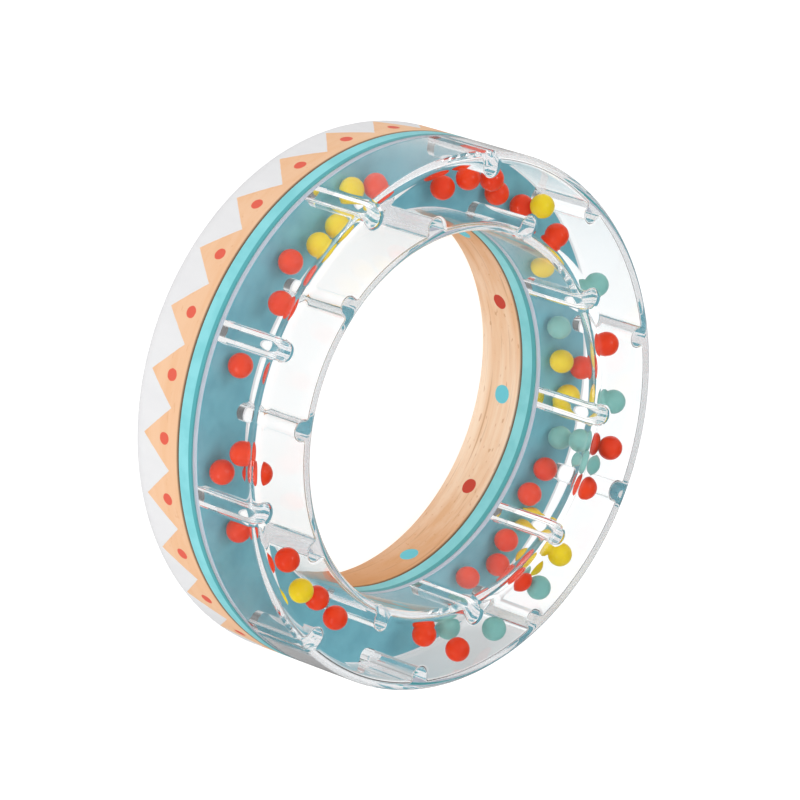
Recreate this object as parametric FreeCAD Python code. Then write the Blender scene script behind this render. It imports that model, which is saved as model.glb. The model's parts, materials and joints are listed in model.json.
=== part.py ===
import FreeCAD, Part
import math
import os

# Teething ring: a wooden ring and a clear channel of loose beads, side by side on one axis.
# Millimetres. +Z is the ring's axis, and the ring lies on the back of its wooden half:
# the origin is the centre of that back, and the clear front faces up.

# ---- driving dimensions ----
OUTER_R = 42.5
BORE_R = 30.0
WOOD_DEPTH = 12.2
FLANGE_DEPTH = 3.1
LAND_DEPTH = 0.4
SHELL_DEPTH = 14.0
SHELL_WALL = 1.3
BEAD_R = 1.95
RIBS_PER_WALL = 10

# ---- roundings and small clearances ----
BACK_OUTER_ROUND = 4.8
BACK_BORE_ROUND = 5.8
SEAM_EDGE_ROUND = 0.35
FRONT_OUTER_ROUND = 1.9
FRONT_BORE_ROUND = 2.2
CHANNEL_ROUND = 0.6
LAND_CLEARANCE = 0.05
RIB_END_GAP = 0.1

# ---- ribs inside the channel ----
RIB_WIDTH = 2.8
RIB_HEIGHT = 2.4
RIB_ROOT = 0.8
FIRST_RIB_ANGLE = 2.0
RIB_PITCH = 360.0 / RIBS_PER_WALL

# ---- heights of the joints between the pieces ----
SEAM_Z = WOOD_DEPTH
SHELL_Z = SEAM_Z + FLANGE_DEPTH
FLOOR_Z = SHELL_Z + LAND_DEPTH
FRONT_Z = SHELL_Z + SHELL_DEPTH
CEILING_Z = FRONT_Z - SHELL_WALL

# ---- the channel that the beads run in ----
CHANNEL_INNER_R = BORE_R + SHELL_WALL
CHANNEL_OUTER_R = OUTER_R - SHELL_WALL

# ---- loose beads as they lie at rest, bay by bay round the ring ----
# Each bead is a colour, whole degrees from +X towards +Y, the distance of its centre from
# the axis, and the height of its centre above the channel floor.
LOOSE_BEADS = [
    ("red", 3, 35.0, 3.0),
    ("red", 24, 37.5, 3.0),
    ("yellow", 30, 38.5, 2.1),
    ("yellow", 38, 35.5, 3.0),
    ("yellow", 45, 35.5, 3.0),
    ("red", 53, 37.0, 2.1),
    ("red", 63, 36.0, 4.0),
    ("red", 80, 37.0, 2.1),
    ("red", 100, 36.5, 5.0),
    ("red", 105, 38.0, 2.1),
    ("red", 106, 34.0, 5.0),
    ("red", 121, 36.5, 2.1),
    ("red", 127, 36.0, 9.7),
    ("yellow", 138, 36.0, 9.0),
    ("red", 147, 34.0, 7.0),
    ("red", 153, 35.0, 9.0),
    ("red", 193, 36.5, 5.0),
    ("red", 197, 38.5, 9.7),
    ("aqua", 201, 37.0, 5.0),
    ("aqua", 209, 38.5, 9.7),
    ("red", 215, 34.5, 2.1),
    ("red", 222, 35.0, 9.0),
    ("red", 225, 37.0, 2.1),
    ("aqua", 225, 38.5, 9.7),
    ("yellow", 230, 38.0, 5.5),
    ("red", 231, 35.0, 2.1),
    ("yellow", 235, 38.5, 9.0),
    ("yellow", 240, 37.0, 2.1),
    ("red", 245, 34.0, 2.1),
    ("red", 252, 36.5, 9.0),
    ("red", 253, 35.0, 2.1),
    ("aqua", 258, 34.5, 9.7),
    ("aqua", 262, 36.0, 2.1),
    ("aqua", 263, 35.5, 7.0),
    ("red", 263, 38.5, 9.7),
    ("yellow", 273, 36.0, 2.1),
    ("aqua", 274, 38.0, 9.0),
    ("red", 280, 38.5, 2.1),
    ("yellow", 283, 34.0, 2.1),
    ("red", 290, 35.5, 9.7),
    ("aqua", 293, 34.0, 2.1),
    ("aqua", 306, 36.5, 9.0),
    ("yellow", 313, 34.5, 2.1),
    ("red", 321, 36.5, 5.0),
    ("red", 332, 36.5, 2.1),
    ("yellow", 332, 37.5, 6.0),
    ("red", 342, 36.0, 2.1),
    ("red", 350, 37.5, 5.0),
    ("red", 358, 37.0, 5.0),
]


def revolved(edges):
    """A solid of revolution about +Z from a closed outline drawn in the XZ plane."""
    outline = Part.Face(Part.Wire(Part.__sortEdges__(edges)))
    return outline.revolve(FreeCAD.Vector(0, 0, 0), FreeCAD.Vector(0, 0, 1), 360)


def point(radius, height):
    return FreeCAD.Vector(radius, 0, height)


def rounded_outline(corners):
    """Edges of a closed polygon of (radius, height, rounding) corners, each rounding a true arc."""
    edges = []
    starts, ends = [], []
    count = len(corners)
    for index, (radius, height, rounding) in enumerate(corners):
        before = point(*corners[index - 1][:2])
        here = point(radius, height)
        after = point(*corners[(index + 1) % count][:2])
        back = (before - here).normalize()
        onward = (after - here).normalize()
        if rounding == 0:
            starts.append(here)
            ends.append(here)
            continue
        half_turn = back.getAngle(onward) / 2
        setback = rounding / math.tan(half_turn)
        start = here + back * setback
        end = here + onward * setback
        middle_way = (back + onward).normalize()
        centre = here + middle_way * (rounding / math.sin(half_turn))
        middle = centre - middle_way * rounding
        edges.append(Part.Arc(start, middle, end).toShape())
        starts.append(start)
        ends.append(end)
    for index in range(count):
        leave = ends[index]
        arrive = starts[(index + 1) % count]
        edges.append(Part.makeLine(leave, arrive))
    return edges


def wooden_ring():
    """Solid wood, well rounded at the back so that it is safe to mouth."""
    return revolved(
        rounded_outline(
            [
                (BORE_R, 0, BACK_BORE_ROUND),
                (OUTER_R, 0, BACK_OUTER_ROUND),
                (OUTER_R, SEAM_Z, SEAM_EDGE_ROUND),
                (BORE_R, SEAM_Z, SEAM_EDGE_ROUND),
            ]
        )
    )


def base_plate():
    """Closes the channel: a flange between wood and shell, with a raised land that plugs the mouth."""
    land_inner_r = CHANNEL_INNER_R + LAND_CLEARANCE
    land_outer_r = CHANNEL_OUTER_R - LAND_CLEARANCE
    return revolved(
        rounded_outline(
            [
                (BORE_R, SEAM_Z, SEAM_EDGE_ROUND),
                (OUTER_R, SEAM_Z, SEAM_EDGE_ROUND),
                (OUTER_R, SHELL_Z, 0),
                (land_outer_r, SHELL_Z, 0),
                (land_outer_r, FLOOR_Z, 0),
                (land_inner_r, FLOOR_Z, 0),
                (land_inner_r, SHELL_Z, 0),
                (BORE_R, SHELL_Z, 0),
            ]
        )
    )


def rib(angle, wall_r, inward):
    """One full-depth rib with a half-round nose, standing on a channel wall.

    inward is -1 for a rib on the outer wall, which points at the axis, and +1 for one on the inner wall.
    """
    bottom = FLOOR_Z + RIB_END_GAP
    length = CEILING_Z + RIB_ROOT - bottom
    nose_r = RIB_WIDTH / 2
    nose_centre = wall_r + inward * (RIB_HEIGHT - nose_r)
    root = wall_r - inward * RIB_ROOT
    web = Part.makeBox(
        abs(nose_centre - root),
        RIB_WIDTH,
        length,
        FreeCAD.Vector(min(nose_centre, root), -nose_r, bottom),
    )
    nose = Part.makeCylinder(nose_r, length, FreeCAD.Vector(nose_centre, 0, bottom))
    whole = web.fuse(nose).removeSplitter()
    whole.rotate(FreeCAD.Vector(0, 0, 0), FreeCAD.Vector(0, 0, 1), angle)
    return whole


def clear_shell():
    """Transparent channel, open towards the plate, with staggered ribs on both of its walls."""
    channel = revolved(
        rounded_outline(
            [
                (OUTER_R, SHELL_Z, 0),
                (OUTER_R, FRONT_Z, FRONT_OUTER_ROUND),
                (BORE_R, FRONT_Z, FRONT_BORE_ROUND),
                (BORE_R, SHELL_Z, 0),
                (CHANNEL_INNER_R, SHELL_Z, 0),
                (CHANNEL_INNER_R, CEILING_Z, CHANNEL_ROUND),
                (CHANNEL_OUTER_R, CEILING_Z, CHANNEL_ROUND),
                (CHANNEL_OUTER_R, SHELL_Z, 0),
            ]
        )
    )
    ribs = []
    for number in range(RIBS_PER_WALL):
        outer_angle = FIRST_RIB_ANGLE + number * RIB_PITCH
        inner_angle = outer_angle + RIB_PITCH / 2
        ribs.append(rib(outer_angle, CHANNEL_OUTER_R, -1))
        ribs.append(rib(inner_angle, CHANNEL_INNER_R, 1))
    return channel.multiFuse(ribs).removeSplitter()


def bead(angle, radius, height):
    turn = math.radians(angle)
    centre = FreeCAD.Vector(
        radius * math.cos(turn),
        radius * math.sin(turn),
        FLOOR_Z + height,
    )
    return Part.makeSphere(BEAD_R, centre)


def bead_pieces():
    """Every loose bead as its own piece, numbered within its colour in the order of the list."""
    pieces = {}
    counts = {}
    for colour, angle, radius, height in LOOSE_BEADS:
        counts[colour] = counts.get(colour, 0) + 1
        name = f"bead_{colour}_{counts[colour]:02d}"
        pieces[name] = bead(angle, radius, height)
    return pieces


def main():
    os.makedirs("parts", exist_ok=True)
    pieces = {
        "wooden_ring": wooden_ring(),
        "base_plate": base_plate(),
        "clear_shell": clear_shell(),
    }
    pieces.update(bead_pieces())
    for name, shape in pieces.items():
        shape.exportStep(f"parts/{name}.step")


main()
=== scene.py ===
import json
import math
import random

import bpy
from mathutils import Matrix, Vector


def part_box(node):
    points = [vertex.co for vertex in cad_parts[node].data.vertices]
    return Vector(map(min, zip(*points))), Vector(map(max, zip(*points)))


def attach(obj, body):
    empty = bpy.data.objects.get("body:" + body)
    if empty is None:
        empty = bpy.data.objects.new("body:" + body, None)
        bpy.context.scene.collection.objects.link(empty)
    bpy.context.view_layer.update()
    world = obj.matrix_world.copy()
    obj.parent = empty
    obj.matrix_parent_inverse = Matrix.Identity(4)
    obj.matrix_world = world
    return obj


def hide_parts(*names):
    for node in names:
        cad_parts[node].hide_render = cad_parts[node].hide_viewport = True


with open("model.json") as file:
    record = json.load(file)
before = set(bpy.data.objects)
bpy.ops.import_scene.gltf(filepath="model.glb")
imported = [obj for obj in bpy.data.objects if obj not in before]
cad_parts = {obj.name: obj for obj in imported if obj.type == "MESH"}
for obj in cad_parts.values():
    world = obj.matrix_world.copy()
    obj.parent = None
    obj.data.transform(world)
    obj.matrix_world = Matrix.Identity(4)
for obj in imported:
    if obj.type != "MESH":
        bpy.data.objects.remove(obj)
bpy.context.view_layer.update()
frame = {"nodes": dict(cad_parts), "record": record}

MM = 0.001
TURN = 2 * math.pi
QUARTER = math.pi / 2

# ---- sizes that the frame gives ----
WOOD_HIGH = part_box("wooden_ring")[1]
PLATE_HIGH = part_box("base_plate")[1]
SHELL_LOW, SHELL_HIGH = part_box("clear_shell")
BEAD_LOW, BEAD_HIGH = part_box("bead_red_01")
BORE = next(m for m in frame["record"]["mounts"] if m["name"] == "bore")
OUTER_R = WOOD_HIGH.x
BORE_R = BORE["dims"]["r_mm"] * MM
BEAD_R = (BEAD_HIGH.z - BEAD_LOW.z) / 2
SEAM_Z = WOOD_HIGH.z
FLOOR_Z = PLATE_HIGH.z
SHELL_Z = SHELL_LOW.z
FRONT_Z = SHELL_HIGH.z
MIDDLE_R = (OUTER_R + BORE_R) / 2

# ---- sizes of the moulded and turned details ----
WALL = 1.3 * MM
CHANNEL_OUTER_R = OUTER_R - WALL
CHANNEL_INNER_R = BORE_R + WALL
CEILING_Z = FRONT_Z - WALL
BACK_OUTER_ROUND = 4.8 * MM
BACK_BORE_ROUND = 5.8 * MM
FRONT_OUTER_ROUND = 1.9 * MM
FRONT_BORE_ROUND = 2.2 * MM
SEAM_ROUND = 0.35 * MM
EDGE_ROUND = 0.15 * MM
RIBS = 10
FIRST_RIB = math.radians(2)
RIB_HALF = 1.4 * MM
RIB_HEIGHT = 2.4 * MM
RIB_ROOT = 0.65 * MM
CHANNEL_ROUND = 0.6 * MM
GAP = 0.03 * MM


# ---------------------------------------------------------------- meshes


class Patches:
    """A mesh made of grids of points that share vertices and keep their own exact normals."""

    def __init__(self):
        self.points = []
        self.faces = []
        self.normals = []

    def row(self, places):
        """Adds a row of points and gives their numbers."""
        first = len(self.points)
        self.points.extend(places)
        return list(range(first, len(self.points)))

    def strip(self, lower, upper, lower_normals, upper_normals):
        """Faces between two closed rows of the same length; where both rows share a point, fewer corners."""
        count = len(lower)
        for i in range(count):
            j = (i + 1) % count
            corners = [
                (lower[i], lower_normals[i]),
                (lower[j], lower_normals[j]),
                (upper[j], upper_normals[j]),
                (upper[i], upper_normals[i]),
            ]
            kept = []
            for number, normal in corners:
                if number not in [k[0] for k in kept]:
                    kept.append((number, normal))
            if len(kept) < 3:
                continue
            a, b, c = (self.points[k[0]] for k in kept[:3])
            facing = (b - a).cross(c - a)
            if facing.dot(sum((k[1] for k in kept), Vector())) < 0:
                kept.reverse()
            self.faces.append([k[0] for k in kept])
            self.normals.extend(k[1] for k in kept)

    def polygon(self, corners, normal):
        """One flat face of many corners, all with the same normal."""
        facing = Vector()
        for here, following in zip(corners, corners[1:] + corners[:1]):
            facing += self.points[here].cross(self.points[following])
        if facing.dot(normal) < 0:
            corners = corners[::-1]
        self.faces.append(corners)
        self.normals.extend([normal] * len(corners))

    def piece(self, name, material):
        mesh = bpy.data.meshes.new(name)
        mesh.from_pydata(self.points, [], self.faces)
        mesh.polygons.foreach_set("use_smooth", [True] * len(mesh.polygons))
        mesh.normals_split_custom_set([n.normalized() for n in self.normals])
        mesh.materials.append(material)
        mesh.validate()
        obj = bpy.data.objects.new(name, mesh)
        bpy.context.scene.collection.objects.link(obj)
        return obj


def polar(radius, angle, height):
    return Vector((radius * math.cos(angle), radius * math.sin(angle), height))


def profile(corners, steps=10):
    """Points and normals along a closed outline of (radius, height, rounding) corners, going round its solid.

    Each entry is (radius, height, normal to the flat before it, normal to the flat after it).
    """
    found = []
    count = len(corners)
    for i, (radius, height, rounding) in enumerate(corners):
        here = Vector((radius, height))
        before = (Vector(corners[i - 1][:2]) - here).normalized()
        after = (Vector(corners[(i + 1) % count][:2]) - here).normalized()
        normal_in = Vector((-before.y, before.x))
        normal_out = Vector((after.y, -after.x))
        if rounding == 0:
            found.append((here, normal_in, normal_out))
            continue
        half = before.angle(after) / 2
        bisector = (before + after).normalized()
        centre = here + bisector * (rounding / math.sin(half))
        convex = normal_in.dot(bisector) < 0
        side = 1 if convex else -1
        for step in range(steps + 1):
            share = step / steps
            way = normal_in.slerp(normal_out, share)
            found.append((centre + way * rounding * side, way, way))
    return found


def lathe(name, corners, material, segments=360, steps=10):
    """A closed solid of revolution about the ring's axis."""
    outline = profile(corners, steps)
    angles = [TURN * i / segments for i in range(segments)]
    patches = Patches()
    rows = [patches.row([polar(p.x, a, p.y) for a in angles]) for p, _, _ in outline]
    for i in range(len(outline)):
        j = (i + 1) % len(outline)
        leave = outline[i][2]
        arrive = outline[j][1]
        patches.strip(
            rows[i],
            rows[j],
            [polar(leave.x, a, leave.y) for a in angles],
            [polar(arrive.x, a, arrive.y) for a in angles],
        )
    return patches.piece(name, material)


def rib_outline():
    """Half-round rib standing on a flat wall: (along, height, normal along, normal height)."""
    points = []
    root_steps, nose_steps = 4, 14
    foot = RIB_HALF + RIB_ROOT
    nose_base = RIB_HEIGHT - RIB_HALF
    for step in range(root_steps + 1):
        turn = QUARTER * step / root_steps
        rise = RIB_ROOT * (1 - math.cos(turn))
        points.append((-foot + RIB_ROOT * math.sin(turn), rise, -math.sin(turn), math.cos(turn)))
    for step in range(nose_steps + 1):
        turn = math.pi * (1 - step / nose_steps)
        rise = nose_base + RIB_HALF * math.sin(turn)
        points.append((RIB_HALF * math.cos(turn), rise, math.cos(turn), math.sin(turn)))
    for step in range(root_steps + 1):
        turn = QUARTER * (1 - step / root_steps)
        rise = RIB_ROOT * (1 - math.cos(turn))
        points.append((foot - RIB_ROOT * math.sin(turn), rise, math.sin(turn), math.cos(turn)))
    return points


def channel_walls():
    """Stations round the channel.

    Each is (angle, outer wall, inner wall, in an outer rib, in an inner rib), a wall being (place, normal).
    """
    outline = rib_outline()
    bay_steps = 16
    stations = []
    for k in range(2 * RIBS):
        on_outer = k % 2 == 0
        middle = FIRST_RIB + k * math.pi / RIBS
        wall = CHANNEL_OUTER_R if on_outer else CHANNEL_INNER_R
        other = CHANNEL_INNER_R if on_outer else CHANNEL_OUTER_R
        inward = -1 if on_outer else 1
        half_angle = (RIB_HALF + RIB_ROOT) / wall
        last = len(outline) - 1
        for i, (along, height, n_along, n_height) in enumerate(outline):
            radius = wall + inward * height
            angle = middle + along / radius
            even = middle + half_angle * (2 * i / last - 1)
            across = Vector((-math.sin(angle), math.cos(angle), 0))
            outward = Vector((math.cos(angle), math.sin(angle), 0))
            ribbed = (
                polar(radius, angle, 0),
                across * n_along + outward * inward * n_height,
            )
            plain = (polar(other, even, 0), polar(1, even, 0) * -inward)
            in_rib = 0 < i < last
            stations.append((even, ribbed, plain, on_outer, in_rib))
        next_wall = CHANNEL_INNER_R if on_outer else CHANNEL_OUTER_R
        start = middle + half_angle
        stop = middle + math.pi / RIBS - (RIB_HALF + RIB_ROOT) / next_wall
        for i in range(1, bay_steps):
            even = start + (stop - start) * i / bay_steps
            outer = (polar(CHANNEL_OUTER_R, even, 0), polar(-1, even, 0))
            inner = (polar(CHANNEL_INNER_R, even, 0), polar(1, even, 0))
            stations.append((even, outer, inner, True, False))
    walls = []
    for even, one, two, one_is_outer, in_rib in stations:
        outer, inner = (one, two) if one_is_outer else (two, one)
        walls.append((even, outer, inner, in_rib and one_is_outer, in_rib and not one_is_outer))
    return walls


def clear_channel(material):
    """The transparent half: plain outside, ribbed inside, open towards the plate, as one closed mesh."""
    walls = channel_walls()
    angles = [w[0] for w in walls]
    patches = Patches()
    up = [Vector((0, 0, 1))] * len(walls)
    down = [Vector((0, 0, -1))] * len(walls)
    bottom = SHELL_Z - GAP
    rib_bottom = FLOOR_Z + GAP

    outside = profile(
        [
            (OUTER_R, bottom, 0),
            (OUTER_R, FRONT_Z, FRONT_OUTER_ROUND),
            (BORE_R, FRONT_Z, FRONT_BORE_ROUND),
            (BORE_R, bottom, 0),
        ],
        steps=14,
    )
    rows = [patches.row([polar(p.x, a, p.y) for a in angles]) for p, _, _ in outside]
    for i in range(len(outside) - 1):
        leave = outside[i][2]
        arrive = outside[i + 1][1]
        patches.strip(
            rows[i],
            rows[i + 1],
            [polar(leave.x, a, leave.y) for a in angles],
            [polar(arrive.x, a, arrive.y) for a in angles],
        )

    round_steps = 4
    ceiling_rows = []
    for side, rim, wall_r in ((1, rows[0], CHANNEL_OUTER_R), (2, rows[-1], CHANNEL_INNER_R)):
        places = [w[side][0] for w in walls]
        normals = [w[side][1] for w in walls]
        in_rib = [w[2 + side] for w in walls]
        inward = -1 if side == 1 else 1
        plain_normals = [polar(inward, a, 0) for a in angles]
        low = patches.row([polar(wall_r, a, bottom) for a in angles])
        patches.strip(rim, low, down, down)
        foot = patches.row([p + Vector((0, 0, rib_bottom)) for p in places])
        hidden = patches.row([polar(wall_r, a, rib_bottom) for a in angles])
        step = [h if rib else f for h, f, rib in zip(hidden, foot, in_rib)]
        patches.strip(low, step, plain_normals, plain_normals)
        patches.strip(step, foot, down, down)
        below, below_normals = foot, normals
        for i in range(round_steps + 1):
            turn = QUARTER * i / round_steps
            reach = CHANNEL_ROUND * (1 - math.cos(turn))
            height = CEILING_Z - CHANNEL_ROUND * (1 - math.sin(turn))
            above = patches.row([p + n * reach + Vector((0, 0, height)) for p, n in zip(places, normals)])
            above_normals = [n * math.cos(turn) - Vector((0, 0, math.sin(turn))) for n in normals]
            patches.strip(below, above, below_normals, above_normals)
            below, below_normals = above, above_normals
        ceiling_rows.append(below)
    add_ceiling(patches, walls, ceiling_rows)
    obj = patches.piece("clear_channel", material)
    drop_loose_points(obj.data)
    return obj


def add_ceiling(patches, walls, rows):
    """The flat roof of the channel: one many-sided face over each rib and one between each two ribs."""
    outer, inner = rows
    ribbed = [w[3] or w[4] for w in walls]
    count = len(walls)
    starts = [i for i in range(count) if ribbed[i] != ribbed[i - 1]]
    for here, following in zip(starts, starts[1:] + [starts[0] + count]):
        first = here - 1 if ribbed[here % count] else here
        last = following if ribbed[here % count] else following - 1
        span = [i % count for i in range(first, last + 1)]
        if len(span) > 1:
            corners = [outer[i] for i in span] + [inner[i] for i in reversed(span)]
            patches.polygon(corners, Vector((0, 0, -1)))


def drop_loose_points(mesh):
    """Removes the points that no face uses, without touching the faces' own normals."""
    used = {v for face in mesh.polygons for v in face.vertices}
    keep = sorted(used)
    renumber = {old: new for new, old in enumerate(keep)}
    points = [mesh.vertices[i].co.copy() for i in keep]
    faces = [[renumber[v] for v in face.vertices] for face in mesh.polygons]
    normals = [n.vector.copy() for n in mesh.corner_normals]
    mesh.clear_geometry()
    mesh.from_pydata(points, [], faces)
    mesh.polygons.foreach_set("use_smooth", [True] * len(mesh.polygons))
    mesh.normals_split_custom_set(normals)


def bead_mesh(name, material):
    """A moulded bead: a ball with a faint parting line round it and a small gate mark at one pole."""
    rings, segments = 40, 56
    ridge, ridge_width = 0.025 * MM, math.radians(3)
    gate_depth, gate_width = 0.06 * MM, math.radians(15)
    points, faces = [], []
    for i in range(1, rings):
        tilt = math.pi * i / rings
        for j in range(segments):
            turn = TURN * j / segments
            radius = BEAD_R - ridge
            radius += ridge * math.exp(-(((tilt - math.pi / 2) / ridge_width) ** 2))
            radius -= gate_depth * math.exp(-((tilt / gate_width) ** 4))
            flat = math.sin(tilt)
            points.append(Vector((flat * math.cos(turn), flat * math.sin(turn), math.cos(tilt))) * radius)
    top = len(points)
    points.append(Vector((0, 0, BEAD_R - ridge - gate_depth)))
    points.append(Vector((0, 0, -(BEAD_R - ridge))))
    for i in range(rings - 2):
        for j in range(segments):
            k = (j + 1) % segments
            a, b = i * segments, (i + 1) * segments
            faces.append((a + j, b + j, b + k, a + k))
    last = (rings - 2) * segments
    for j in range(segments):
        k = (j + 1) % segments
        faces.append((top, j, k))
        faces.append((top + 1, last + k, last + j))
    mesh = bpy.data.meshes.new(name)
    mesh.from_pydata(points, [], faces)
    mesh.polygons.foreach_set("use_smooth", [True] * len(mesh.polygons))
    mesh.materials.append(material)
    return mesh


# ---------------------------------------------------------------- materials


class Nodes:
    """A small helper to write a node tree in few lines."""

    def __init__(self, tree):
        self.tree = tree
        tree.nodes.clear()

    def add(self, kind, inputs=None, **settings):
        node = self.tree.nodes.new(kind)
        for key, value in settings.items():
            setattr(node, key, value)
        for key, value in (inputs or {}).items():
            self.feed(node.inputs[key], value)
        return node

    def feed(self, socket, value):
        if isinstance(value, bpy.types.NodeSocket):
            self.tree.links.new(value, socket)
        else:
            socket.default_value = value

    def math(self, operation, *values, clamp=False):
        node = self.add("ShaderNodeMath", operation=operation, use_clamp=clamp)
        for socket, value in zip(node.inputs, values):
            self.feed(socket, value)
        return node.outputs[0]

    def blend(self, share, one, two):
        node = self.add("ShaderNodeMix", data_type="RGBA", blend_type="MIX")
        self.feed(node.inputs["Factor"], share)
        self.feed(node.inputs["A"], one)
        self.feed(node.inputs["B"], two)
        return node.outputs["Result"]

    def spread(self, value, low, high, new_low=0.0, new_high=1.0):
        """Maps value from low..high to new_low..new_high, smoothly and clamped."""
        node = self.add("ShaderNodeMapRange", interpolation_type="SMOOTHSTEP")
        for socket, number in zip(node.inputs, (value, low, high, new_low, new_high)):
            self.feed(socket, number)
        return node.outputs[0]

    def stretched(self, place, scale):
        node = self.add("ShaderNodeMapping", {"Vector": place, "Scale": scale})
        return node.outputs[0]

    def noise(self, place, scale, detail=2.0, roughness=0.5):
        node = self.add(
            "ShaderNodeTexNoise",
            {"Vector": place, "Scale": scale, "Detail": detail, "Roughness": roughness},
        )
        return node.outputs["Fac"]

    def radius(self, axes):
        """Distance from the ring's axis."""
        squares = [self.math("POWER", axes[name], 2.0) for name in ("X", "Y")]
        return self.math("SQRT", self.math("ADD", *squares))

    def bump(self, height, strength, distance):
        node = self.add("ShaderNodeBump", {"Height": height, "Strength": strength, "Distance": distance})
        return node.outputs[0]


def linear(red, green, blue):
    """A colour given as screen values from 0 to 255, in linear light."""
    parts = []
    for value in (red, green, blue):
        share = value / 255
        parts.append(share / 12.92 if share <= 0.04045 else ((share + 0.055) / 1.055) ** 2.4)
    return (*parts, 1.0)


BLACK = (0.0, 0.0, 0.0, 1.0)
WHITE = (1.0, 1.0, 1.0, 1.0)
FLOOR_GREY = (0.4, 0.4, 0.4, 1.0)
PALE_BEECH = linear(255, 232, 206)
TAN_BEECH = linear(238, 194, 152)
DRIFT_BEECH = linear(242, 196, 150)
BROWN_FLECK = linear(196, 138, 92)
RIM_STAIN = linear(232, 178, 132)
# Darker end-grain colour, also used as painted shade in the bore near the seam.
END_GRAIN_AND_SEAM_SHADE = linear(214, 144, 76)
TURNED_STREAK = linear(172, 112, 62)
GLUE = linear(96, 62, 38)
WHITE_PAINT = linear(230, 230, 231)
WHITE_PAINT_SHADE = linear(222, 222, 224)
CORAL_DOT = linear(229, 92, 70)
RED_DOT = linear(204, 58, 34)
BLUE_DOT = linear(104, 206, 222)
TURQUOISE = linear(138, 218, 224)
TURQUOISE_SHADE = linear(124, 208, 214)
LIP = linear(78, 170, 176)
# Pale weld colour; its paleness is also painted light for the glow the clear walls carry down.
WELD_AND_GLOW = linear(196, 203, 214)
# Painted shade: the channel floor's turquoise, darker and greyer than the rim.
SHADED_CHANNEL_FLOOR = linear(114, 184, 198)
SHADED_CHANNEL_FLOOR_FLOW = linear(102, 170, 186)
PIPED_LIGHT = linear(250, 252, 253)
BEAD_COLOURS = {
    "red": (linear(238, 60, 0), linear(228, 50, 0)),
    "yellow": (linear(240, 212, 24), linear(234, 200, 16)),
    "aqua": (linear(134, 192, 184), linear(122, 180, 174)),
}
PLASTIC_IOR = 1.5
# Lower than real clear plastic, which is about 1.5 to 1.6. It is set for the look.
CLEAR_IOR = 1.41


def new_material(name):
    material = bpy.data.materials.new(name)
    material.use_nodes = True
    nodes = Nodes(material.node_tree)
    output = nodes.add("ShaderNodeOutputMaterial")
    place = nodes.add("ShaderNodeTexCoord").outputs["Object"]
    return material, nodes, output, place


def wood_grain(nodes, place):
    """Pale beech sawn along X: soft growth bands, fine fibres and short brown flecks.

    Gives its colour and its height.
    """
    fibres = nodes.noise(nodes.stretched(place, (0.06, 1.0, 1.0)), scale=2600, detail=4, roughness=0.6)
    drift = nodes.noise(nodes.stretched(place, (0.25, 1.0, 1.0)), scale=90, detail=2, roughness=0.5)
    bands = nodes.noise(nodes.stretched(place, (0.05, 0.35, 1.0)), scale=520, detail=3, roughness=0.55)
    fleck_field = nodes.noise(nodes.stretched(place, (0.22, 1.0, 1.0)), scale=1900, detail=1, roughness=0.4)
    colour = nodes.blend(nodes.spread(bands, 0.34, 0.72, 0.0, 0.8), PALE_BEECH, TAN_BEECH)
    colour = nodes.blend(nodes.spread(drift, 0.45, 0.75, 0.0, 0.3), colour, DRIFT_BEECH)
    colour = nodes.blend(nodes.spread(fibres, 0.5, 0.8, 0.0, 0.3), colour, TAN_BEECH)
    flecks = nodes.spread(fleck_field, 0.68, 0.76, 0.0, 0.5)
    colour = nodes.blend(flecks, colour, BROWN_FLECK)
    height = nodes.math("SUBTRACT", fibres, nodes.math("MULTIPLY", flecks, 0.5))
    return colour, height


def wrapped(nodes, angle, pitch, start):
    """Angle from the nearest of the marks that stand every pitch from start, in radians."""
    turns = nodes.math("DIVIDE", nodes.math("SUBTRACT", angle, start), pitch)
    share = nodes.math("SUBTRACT", nodes.math("FRACT", nodes.math("ADD", turns, 0.5)), 0.5)
    return nodes.math("MULTIPLY", share, pitch)


def dot_mask(nodes, along, depth, centre_depth, radius, wobble):
    """1 inside a round painted dot whose edge wobbles slightly."""
    soft = 0.05 * MM
    down = nodes.math("SUBTRACT", depth, centre_depth)
    reach = nodes.math(
        "SQRT",
        nodes.math("ADD", nodes.math("POWER", along, 2.0), nodes.math("POWER", down, 2.0)),
    )
    reach = nodes.math("ADD", reach, wobble)
    return nodes.spread(reach, radius - soft, radius + soft, 1.0, 0.0)


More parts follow.
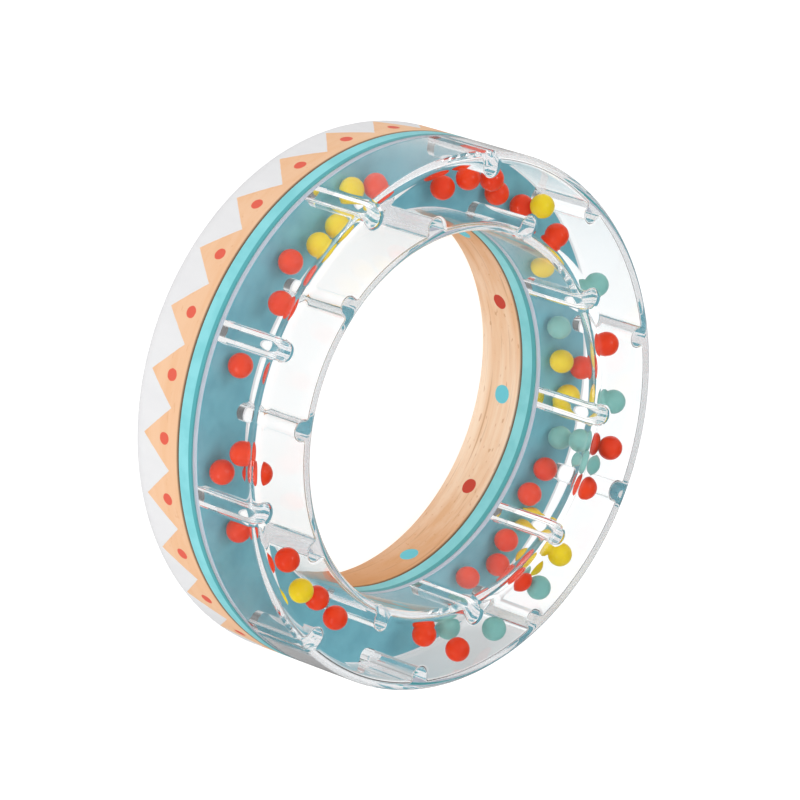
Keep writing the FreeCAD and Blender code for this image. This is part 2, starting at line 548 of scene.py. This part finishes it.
def painted_wood():
    """Beech with a white rim, a zigzag of bare triangles, coral dots in them, and dots round the bore."""
    triangles = 27
    triangle_start = math.radians(5.8)
    tip_depth, valley_depth = 7.7 * MM, 2.1 * MM
    rim_dot_depth, rim_dot_r = 3.1 * MM, 0.98 * MM
    bore_dots = 12
    bore_dot_depth, red_dot_r, blue_dot_r = 3.6 * MM, 1.3 * MM, 1.5 * MM
    paint_stop_r = OUTER_R - BACK_OUTER_ROUND - 0.2 * MM
    bore_band = 2 * MM
    edge = 0.06 * MM
    wobble_size = 0.22 * MM
    # How far from the seam the painted shade in the bore reaches.
    seam_shade_depth = 8.0 * MM
    glue_full, glue_none, glue_share = 0.05 * MM, 0.45 * MM, 0.85
    stain_share = 0.75
    streak_share = 0.4

    material, nodes, output, place = new_material("painted_wood")
    grain, grain_height = wood_grain(nodes, place)
    axes = nodes.add("ShaderNodeSeparateXYZ", {"Vector": place}).outputs
    angle = nodes.math("ARCTAN2", axes["Y"], axes["X"])
    radius = nodes.radius(axes)
    depth = nodes.math("SUBTRACT", SEAM_Z, axes["Z"])
    rough_edge = nodes.math("SUBTRACT", nodes.noise(place, scale=900, detail=2), 0.5)
    wobble = nodes.math("MULTIPLY", rough_edge, wobble_size)

    pitch = TURN / triangles
    from_tip = wrapped(nodes, angle, pitch, triangle_start)
    tip_share = nodes.math("DIVIDE", nodes.math("ABSOLUTE", from_tip), pitch / 2)
    boundary = nodes.math("MULTIPLY_ADD", tip_share, valley_depth - tip_depth, tip_depth)
    past = nodes.math("SUBTRACT", nodes.math("ADD", depth, wobble), boundary)
    white = nodes.spread(past, -edge, edge)
    on_rim = nodes.spread(radius, paint_stop_r - edge, paint_stop_r + edge)
    white = nodes.math("MULTIPLY", white, on_rim)

    rim_along = nodes.math("MULTIPLY", from_tip, OUTER_R)
    rim_dots = dot_mask(nodes, rim_along, depth, rim_dot_depth, rim_dot_r, wobble)
    rim_dots = nodes.math("MULTIPLY", rim_dots, on_rim)

    on_bore = nodes.math("LESS_THAN", radius, BORE_R + bore_band)
    double = TURN / (bore_dots / 2)
    red_along = nodes.math("MULTIPLY", wrapped(nodes, angle, double, 0.0), BORE_R)
    blue_along = nodes.math("MULTIPLY", wrapped(nodes, angle, double, double / 2), BORE_R)
    red = dot_mask(nodes, red_along, depth, bore_dot_depth, red_dot_r, wobble)
    blue = dot_mask(nodes, blue_along, depth, bore_dot_depth, blue_dot_r, wobble)
    red = nodes.math("MULTIPLY", red, on_bore)
    blue = nodes.math("MULTIPLY", blue, on_bore)

    brush = nodes.noise(nodes.stretched(place, (1.0, 1.0, 0.3)), scale=420, detail=3)
    white_paint = nodes.blend(brush, WHITE_PAINT, WHITE_PAINT_SHADE)
    stained = nodes.blend(stain_share, grain, RIM_STAIN)
    end_grain = nodes.math("POWER", nodes.math("DIVIDE", axes["X"], radius), 2.0)
    # Painted shade: near the bore the wood is drawn darker and warmer towards the seam with the plate; the
    # end-grain share is the wood's own colour.
    end_grain_and_seam_shade = nodes.spread(depth, 0.0, seam_shade_depth, 0.1, 0.0)
    end_grain_and_seam_shade = nodes.math("MULTIPLY_ADD", end_grain, 0.8, end_grain_and_seam_shade, clamp=True)
    near_bore = nodes.spread(radius, BORE_R, BORE_R + BACK_BORE_ROUND, 1.0, 0.0)
    end_grain_and_seam_shade = nodes.math("MULTIPLY", end_grain_and_seam_shade, near_bore)
    grain_and_shade_colour = nodes.blend(end_grain_and_seam_shade, grain, END_GRAIN_AND_SEAM_SHADE)
    turned = nodes.noise(nodes.stretched(place, (0.03, 0.03, 1.0)), scale=2600, detail=2, roughness=0.5)
    turned = nodes.math("MULTIPLY", nodes.spread(turned, 0.58, 0.74, 0.0, streak_share), near_bore)
    grain_and_shade_colour = nodes.blend(turned, grain_and_shade_colour, TURNED_STREAK)
    colour = nodes.blend(on_rim, grain_and_shade_colour, stained)
    colour = nodes.blend(white, colour, white_paint)
    colour = nodes.blend(rim_dots, colour, CORAL_DOT)
    colour = nodes.blend(red, colour, RED_DOT)
    colour = nodes.blend(blue, colour, BLUE_DOT)
    glue_line = nodes.spread(depth, glue_full, glue_none, glue_share, 0.0)
    colour = nodes.blend(glue_line, colour, GLUE)

    bore_paint = nodes.math("MAXIMUM", red, blue)
    paint = nodes.math("MAXIMUM", nodes.math("MAXIMUM", white, rim_dots), bore_paint)
    bare_share = nodes.math("MULTIPLY_ADD", paint, -0.75, 1.0)
    height = nodes.math("MULTIPLY_ADD", grain_height, bare_share, paint)
    roughness = nodes.math("MULTIPLY_ADD", paint, -0.12, 0.55)
    roughness = nodes.math("MULTIPLY_ADD", grain_height, 0.08, roughness)
    skin = nodes.add(
        "ShaderNodeBsdfPrincipled",
        {
            "Base Color": colour,
            "Roughness": roughness,
            "Normal": nodes.bump(height, 0.35, 0.05 * MM),
            "Specular IOR Level": 0.4,
            "Coat Weight": 0.12,
            "Coat Roughness": 0.35,
        },
    )
    nodes.feed(output.inputs["Surface"], skin.outputs[0])
    return material


def moulded_plastic(name, main, shade, roughness=0.3, translucent=0.1, coat=0.22, grain=0.02 * MM):
    """Glossy moulded plastic: faint flow marks in the colour, and a fine uneven skin."""
    material, nodes, output, place = new_material(name)
    flow = nodes.noise(place, scale=260, detail=3, roughness=0.55)
    skin_noise = nodes.noise(place, scale=2400, detail=3, roughness=0.6)
    colour = nodes.blend(nodes.spread(flow, 0.35, 0.7), main, shade)
    gloss = nodes.math("MULTIPLY_ADD", skin_noise, 0.14, roughness - 0.07)
    skin = nodes.add(
        "ShaderNodeBsdfPrincipled",
        {
            "Base Color": colour,
            "Roughness": gloss,
            "Normal": nodes.bump(skin_noise, 0.12, grain),
            "Subsurface Weight": translucent,
            "Subsurface Radius": (1.0, 0.6, 0.4),
            "Subsurface Scale": 1.2 * MM,
            "Specular IOR Level": 0.1,
            "Coat Weight": coat,
            "Coat Roughness": 0.08,
            "IOR": PLASTIC_IOR,
        },
    )
    nodes.feed(output.inputs["Surface"], skin.outputs[0])
    return material


def plate_plastic():
    """Turquoise plastic: bright rim, darker lip, frosted weld under the clear walls made paler as painted
    light, channel floor painted darker as shade.

    Outside the channel floor its top is nearly white to rays that met more than two surfaces on the way.
    That stands in for light which the clear walls pipe down to the weld.
    """
    lip_depth = 0.7 * MM
    weld_glow_start = 0.55 * MM
    weld_glow_stop = 1.4 * MM
    piped_depth = 2.5
    edge = 0.06 * MM
    material, nodes, output, place = new_material("base_plastic")
    flow = nodes.noise(place, scale=260, detail=3, roughness=0.55)
    skin_noise = nodes.noise(place, scale=2400, detail=3, roughness=0.6)
    axes = nodes.add("ShaderNodeSeparateXYZ", {"Vector": place}).outputs
    radius = nodes.radius(axes)
    from_middle = nodes.math("ABSOLUTE", nodes.math("SUBTRACT", radius, MIDDLE_R))
    half_width = (OUTER_R - BORE_R) / 2
    weld_glow_edge = half_width - weld_glow_start
    floor_edge = half_width - weld_glow_stop
    lip = nodes.spread(axes["Z"], SHELL_Z - lip_depth - edge, SHELL_Z - lip_depth + edge)
    on_top = nodes.math("GREATER_THAN", axes["Z"], SHELL_Z - edge)
    weld_and_glow_mask = nodes.spread(from_middle, weld_glow_edge - edge, weld_glow_edge + edge, 1.0, 0.0)
    weld_and_glow_mask = nodes.math("MULTIPLY", weld_and_glow_mask, on_top)
    inside = nodes.spread(from_middle, floor_edge - edge, floor_edge + edge, 1.0, 0.0)
    inside = nodes.math("MULTIPLY", inside, on_top)
    bounces = nodes.add("ShaderNodeLightPath").outputs["Ray Depth"]
    piped = nodes.math("MULTIPLY", nodes.math("GREATER_THAN", bounces, piped_depth), on_top)
    piped = nodes.math("MULTIPLY", piped, nodes.math("SUBTRACT", 1.0, inside))
    colour = nodes.blend(nodes.spread(flow, 0.35, 0.7), TURQUOISE, TURQUOISE_SHADE)
    colour = nodes.blend(lip, colour, LIP)
    # The band under the clear walls is a frosted weld, and its paleness is also painted light for the glow
    # the clear walls carry down to it.
    colour = nodes.blend(weld_and_glow_mask, colour, WELD_AND_GLOW)
    # Painted shade: the channel floor is drawn darker and greyer than the rim, for the shade under the clear
    # plastic.
    shaded_floor_colour = nodes.blend(nodes.spread(flow, 0.35, 0.7), SHADED_CHANNEL_FLOOR, SHADED_CHANNEL_FLOOR_FLOW)
    colour = nodes.blend(inside, colour, shaded_floor_colour)
    colour = nodes.blend(piped, colour, PIPED_LIGHT)
    skin = nodes.add(
        "ShaderNodeBsdfPrincipled",
        {
            "Base Color": colour,
            "Roughness": nodes.math("MULTIPLY_ADD", skin_noise, 0.14, 0.28),
            "Normal": nodes.bump(skin_noise, 0.12, 0.02 * MM),
            "Coat Weight": 0.2,
            "Coat Roughness": 0.1,
            "IOR": PLASTIC_IOR,
        },
    )
    nodes.feed(output.inputs["Surface"], skin.outputs[0])
    return material


def clear_plastic():
    """Polished transparent plastic with slight moulding ripples.

    Shadow rays and diffuse rays pass straight through it, so it hardly casts a shadow.
    """
    material, nodes, output, place = new_material("clear_plastic")
    ripple = nodes.noise(place, scale=70, detail=2, roughness=0.5)
    handling = nodes.noise(nodes.stretched(place, (1.0, 1.0, 0.35)), scale=1500, detail=4, roughness=0.65)
    haze = nodes.spread(handling, 0.55, 0.85, 0.0, 0.02)
    glass = nodes.add(
        "ShaderNodeBsdfPrincipled",
        {
            "Base Color": (0.99, 0.997, 1.0, 1.0),
            "Roughness": haze,
            "IOR": CLEAR_IOR,
            "Transmission Weight": 1.0,
            "Normal": nodes.bump(ripple, 0.10, 0.25 * MM),
        },
    )
    through = nodes.add("ShaderNodeBsdfTransparent", {"Color": (0.985, 0.99, 0.995, 1.0)})
    path = nodes.add("ShaderNodeLightPath").outputs
    lets_by = nodes.math("MAXIMUM", path["Is Shadow Ray"], path["Is Diffuse Ray"])
    mixed = nodes.add("ShaderNodeMixShader", {0: lets_by, 1: glass.outputs[0], 2: through.outputs[0]})
    nodes.feed(output.inputs["Surface"], mixed.outputs[0])
    return material


# ---------------------------------------------------------------- the object


def build_rings(looks):
    wood = lathe(
        "wooden_body",
        [
            (OUTER_R, 0, BACK_OUTER_ROUND),
            (OUTER_R, SEAM_Z, SEAM_ROUND),
            (BORE_R, SEAM_Z, SEAM_ROUND),
            (BORE_R, 0, BACK_BORE_ROUND),
        ],
        looks["painted_wood"],
        steps=16,
    )
    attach(wood, "ring")
    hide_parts("wooden_ring")

    fit = 0.05 * MM
    plate = lathe(
        "turquoise_plate",
        [
            (OUTER_R, SEAM_Z + GAP, SEAM_ROUND),
            (OUTER_R, SHELL_Z, 0),
            (CHANNEL_OUTER_R - fit, SHELL_Z, 0),
            (CHANNEL_OUTER_R - fit, FLOOR_Z, EDGE_ROUND),
            (CHANNEL_INNER_R + fit, FLOOR_Z, EDGE_ROUND),
            (CHANNEL_INNER_R + fit, SHELL_Z, 0),
            (BORE_R, SHELL_Z, 0),
            (BORE_R, SEAM_Z + GAP, SEAM_ROUND),
        ],
        looks["base_plastic"],
        steps=6,
    )
    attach(plate, "ring")
    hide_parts("base_plate")

    shell = clear_channel(looks["clear_plastic"])
    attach(shell, "ring")
    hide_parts("clear_shell")


def build_beads(looks):
    """Every loose bead rides on its own body, turned its own way."""
    seed = 7
    turns = random.Random(seed)
    meshes = {}
    for node in sorted(n for n in frame["nodes"] if n.startswith("bead_")):
        colour = node.split("_")[1]
        slot = f"{colour}_bead"
        if colour not in meshes:
            meshes[colour] = bead_mesh(f"{colour}_bead", looks[slot])
        low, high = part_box(node)
        piece = bpy.data.objects.new(f"{node}_ball", meshes[colour])
        bpy.context.scene.collection.objects.link(piece)
        piece.location = (low + high) / 2
        piece.rotation_euler = [turns.uniform(0, TURN) for _ in range(3)]
        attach(piece, node)
        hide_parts(node)


# ---------------------------------------------------------------- stage


CAMERA_AZIMUTH = math.radians(77.1)
CAMERA_ELEVATION = math.radians(43.7)
CAMERA_ROLL = math.radians(108.3)
CAMERA_DISTANCE = 0.966
CAMERA_LENS = 280.2
CAMERA_SHIFT = Vector((2.6 * MM, -0.1 * MM))


def view_axes():
    """The camera's right, up and backward directions, in the ring's frame."""
    back = polar(math.cos(CAMERA_ELEVATION), CAMERA_AZIMUTH, math.sin(CAMERA_ELEVATION))
    level = Vector((0, 0, 1)).cross(back).normalized()
    upright = back.cross(level)
    right = level * math.cos(CAMERA_ROLL) + upright * math.sin(CAMERA_ROLL)
    up = upright * math.cos(CAMERA_ROLL) - level * math.sin(CAMERA_ROLL)
    return right, up, back


def add_camera():
    right, up, back = view_axes()
    data = bpy.data.cameras.new("camera")
    data.lens = CAMERA_LENS
    data.clip_end = 50
    camera = bpy.data.objects.new("camera", data)
    bpy.context.scene.collection.objects.link(camera)
    turn = Matrix((right, up, back)).transposed().to_4x4()
    centre = Vector((0, 0, SEAM_Z)) + right * CAMERA_SHIFT.x + up * CAMERA_SHIFT.y
    camera.matrix_world = Matrix.Translation(centre + back * CAMERA_DISTANCE) @ turn
    bpy.context.scene.camera = camera


def add_softbox(name, direction, distance, size, power):
    """A square lamp that looks at the ring from a direction given as right, up, back of the camera."""
    right, up, back = view_axes()
    way = (right * direction[0] + up * direction[1] + back * direction[2]).normalized()
    data = bpy.data.lights.new(name, "AREA")
    data.shape = "SQUARE"
    data.size = size
    data.energy = power
    lamp = bpy.data.objects.new(name, data)
    bpy.context.scene.collection.objects.link(lamp)
    centre = Vector((0, 0, SEAM_Z))
    lamp.location = centre + way * distance
    lamp.rotation_euler = (-way).to_track_quat("-Z", "Y").to_euler()


def add_floor():
    """A plain pale light table, whose brightness depends on the kind of ray that meets it.

    The camera sees it evenly lit. Seen through the clear plastic it is shaded beside the ring and fades far
    away. To light that also bounced inside the plastic it turns dark nearer by, as if black flags stood just
    outside the picture, so that the plastic's edges show. Mirror images of it are weak.
    """
    half = 12.0
    dark = 0.06
    wide_r, far_r = 0.16, 0.35
    flag_centre, flag_start, flag_stop = (0.035, -0.035, 0.0), 0.07, 0.15
    shade_full_x, shade_none_x, shade = -0.043, -0.037, 0.4
    shade_r, shade_stop_r = 0.062, 0.085
    mirror_share = 0.3
    glow_strength = 0.8
    mesh = bpy.data.meshes.new("floor")
    corners = [(-half, -half, 0), (half, -half, 0), (half, half, 0), (-half, half, 0)]
    mesh.from_pydata([Vector(c) - Vector((0, 0, GAP)) for c in corners], [], [(0, 1, 2, 3)])
    floor = bpy.data.objects.new("floor", mesh)
    bpy.context.scene.collection.objects.link(floor)
    material, nodes, output, place = new_material("pale_floor")
    path = nodes.add("ShaderNodeLightPath").outputs
    from_axis = nodes.add("ShaderNodeVectorMath", {0: place}, operation="LENGTH").outputs["Value"]
    reach = nodes.add("ShaderNodeVectorMath", {0: place, 1: flag_centre}, operation="DISTANCE")
    from_flags = reach.outputs["Value"]
    wide = nodes.spread(from_axis, wide_r, far_r, 1.0, dark)
    flagged = nodes.spread(from_flags, flag_start, flag_stop, 1.0, dark)
    bounced = nodes.math("GREATER_THAN", path["Glossy Depth"], 0.5)
    pale = nodes.math("MULTIPLY_ADD", bounced, nodes.math("SUBTRACT", flagged, wide), wide)
    along = nodes.add("ShaderNodeSeparateXYZ", {"Vector": place}).outputs["X"]
    shaded = nodes.spread(along, shade_full_x, shade_none_x, shade, 0.0)
    shaded = nodes.math("MULTIPLY", shaded, nodes.spread(from_axis, shade_r, shade_stop_r, 1.0, 0.0))
    pale = nodes.math("MULTIPLY", pale, nodes.math("SUBTRACT", 1.0, shaded))
    direct = nodes.math("MAXIMUM", path["Is Camera Ray"], path["Is Diffuse Ray"])
    pale = nodes.math("MAXIMUM", pale, direct)
    mirrored = nodes.math("SUBTRACT", path["Is Reflection Ray"], path["Is Diffuse Ray"], clamp=True)
    pale = nodes.math("MULTIPLY", pale, nodes.math("MULTIPLY_ADD", mirrored, mirror_share - 1, 1.0))
    matt = nodes.add("ShaderNodeBsdfDiffuse", {"Color": nodes.blend(pale, BLACK, FLOOR_GREY)})
    light = nodes.math("MULTIPLY", pale, glow_strength)
    glow = nodes.add("ShaderNodeEmission", {"Color": WHITE, "Strength": light})
    both = nodes.add("ShaderNodeAddShader", {0: matt.outputs[0], 1: glow.outputs[0]})
    nodes.feed(output.inputs["Surface"], both.outputs[0])
    material.cycles.emission_sampling = "NONE"
    mesh.materials.append(material)


def add_world():
    """Soft studio surroundings with one dark flag where the flat front would mirror it to the camera."""
    world = bpy.data.worlds.new("studio")
    bpy.context.scene.world = world
    world.use_nodes = True
    nodes = Nodes(world.node_tree)
    output = nodes.add("ShaderNodeOutputWorld")
    way = nodes.add("ShaderNodeTexCoord").outputs["Generated"]
    back = view_axes()[2]
    mirrored = (-back.x, -back.y, back.z)
    bright, dark = 0.95, 0.15
    flag_edge, flag_full = 0.72, 0.93
    nearness = nodes.add("ShaderNodeVectorMath", {0: way, 1: mirrored}, operation="DOT_PRODUCT")
    light = nodes.spread(nearness.outputs["Value"], flag_edge, flag_full, bright, dark)
    sky = nodes.add("ShaderNodeBackground", {"Color": WHITE, "Strength": light})
    nodes.feed(output.inputs["Surface"], sky.outputs[0])


def add_stage():
    add_world()
    add_floor()
    add_camera()
    add_softbox("key", (-0.5, -0.5, 0.6), distance=0.7, size=0.2, power=0.6)
    add_softbox("overhead", (0.8, 0.2, 0.7), distance=0.8, size=0.3, power=0.8)
    bpy.context.scene.view_settings.view_transform = "Standard"
    bounces = 24
    light_paths = bpy.context.scene.cycles
    light_paths.max_bounces = bounces
    light_paths.glossy_bounces = bounces
    light_paths.transmission_bounces = bounces
    light_paths.transparent_max_bounces = bounces


def main():
    looks = {
        "painted_wood": painted_wood(),
        "base_plastic": plate_plastic(),
        "clear_plastic": clear_plastic(),
    }
    for colour, (main_colour, shade) in BEAD_COLOURS.items():
        looks[f"{colour}_bead"] = moulded_plastic(f"{colour}_bead", main_colour, shade)
    build_rings(looks)
    build_beads(looks)
    add_stage()


main()
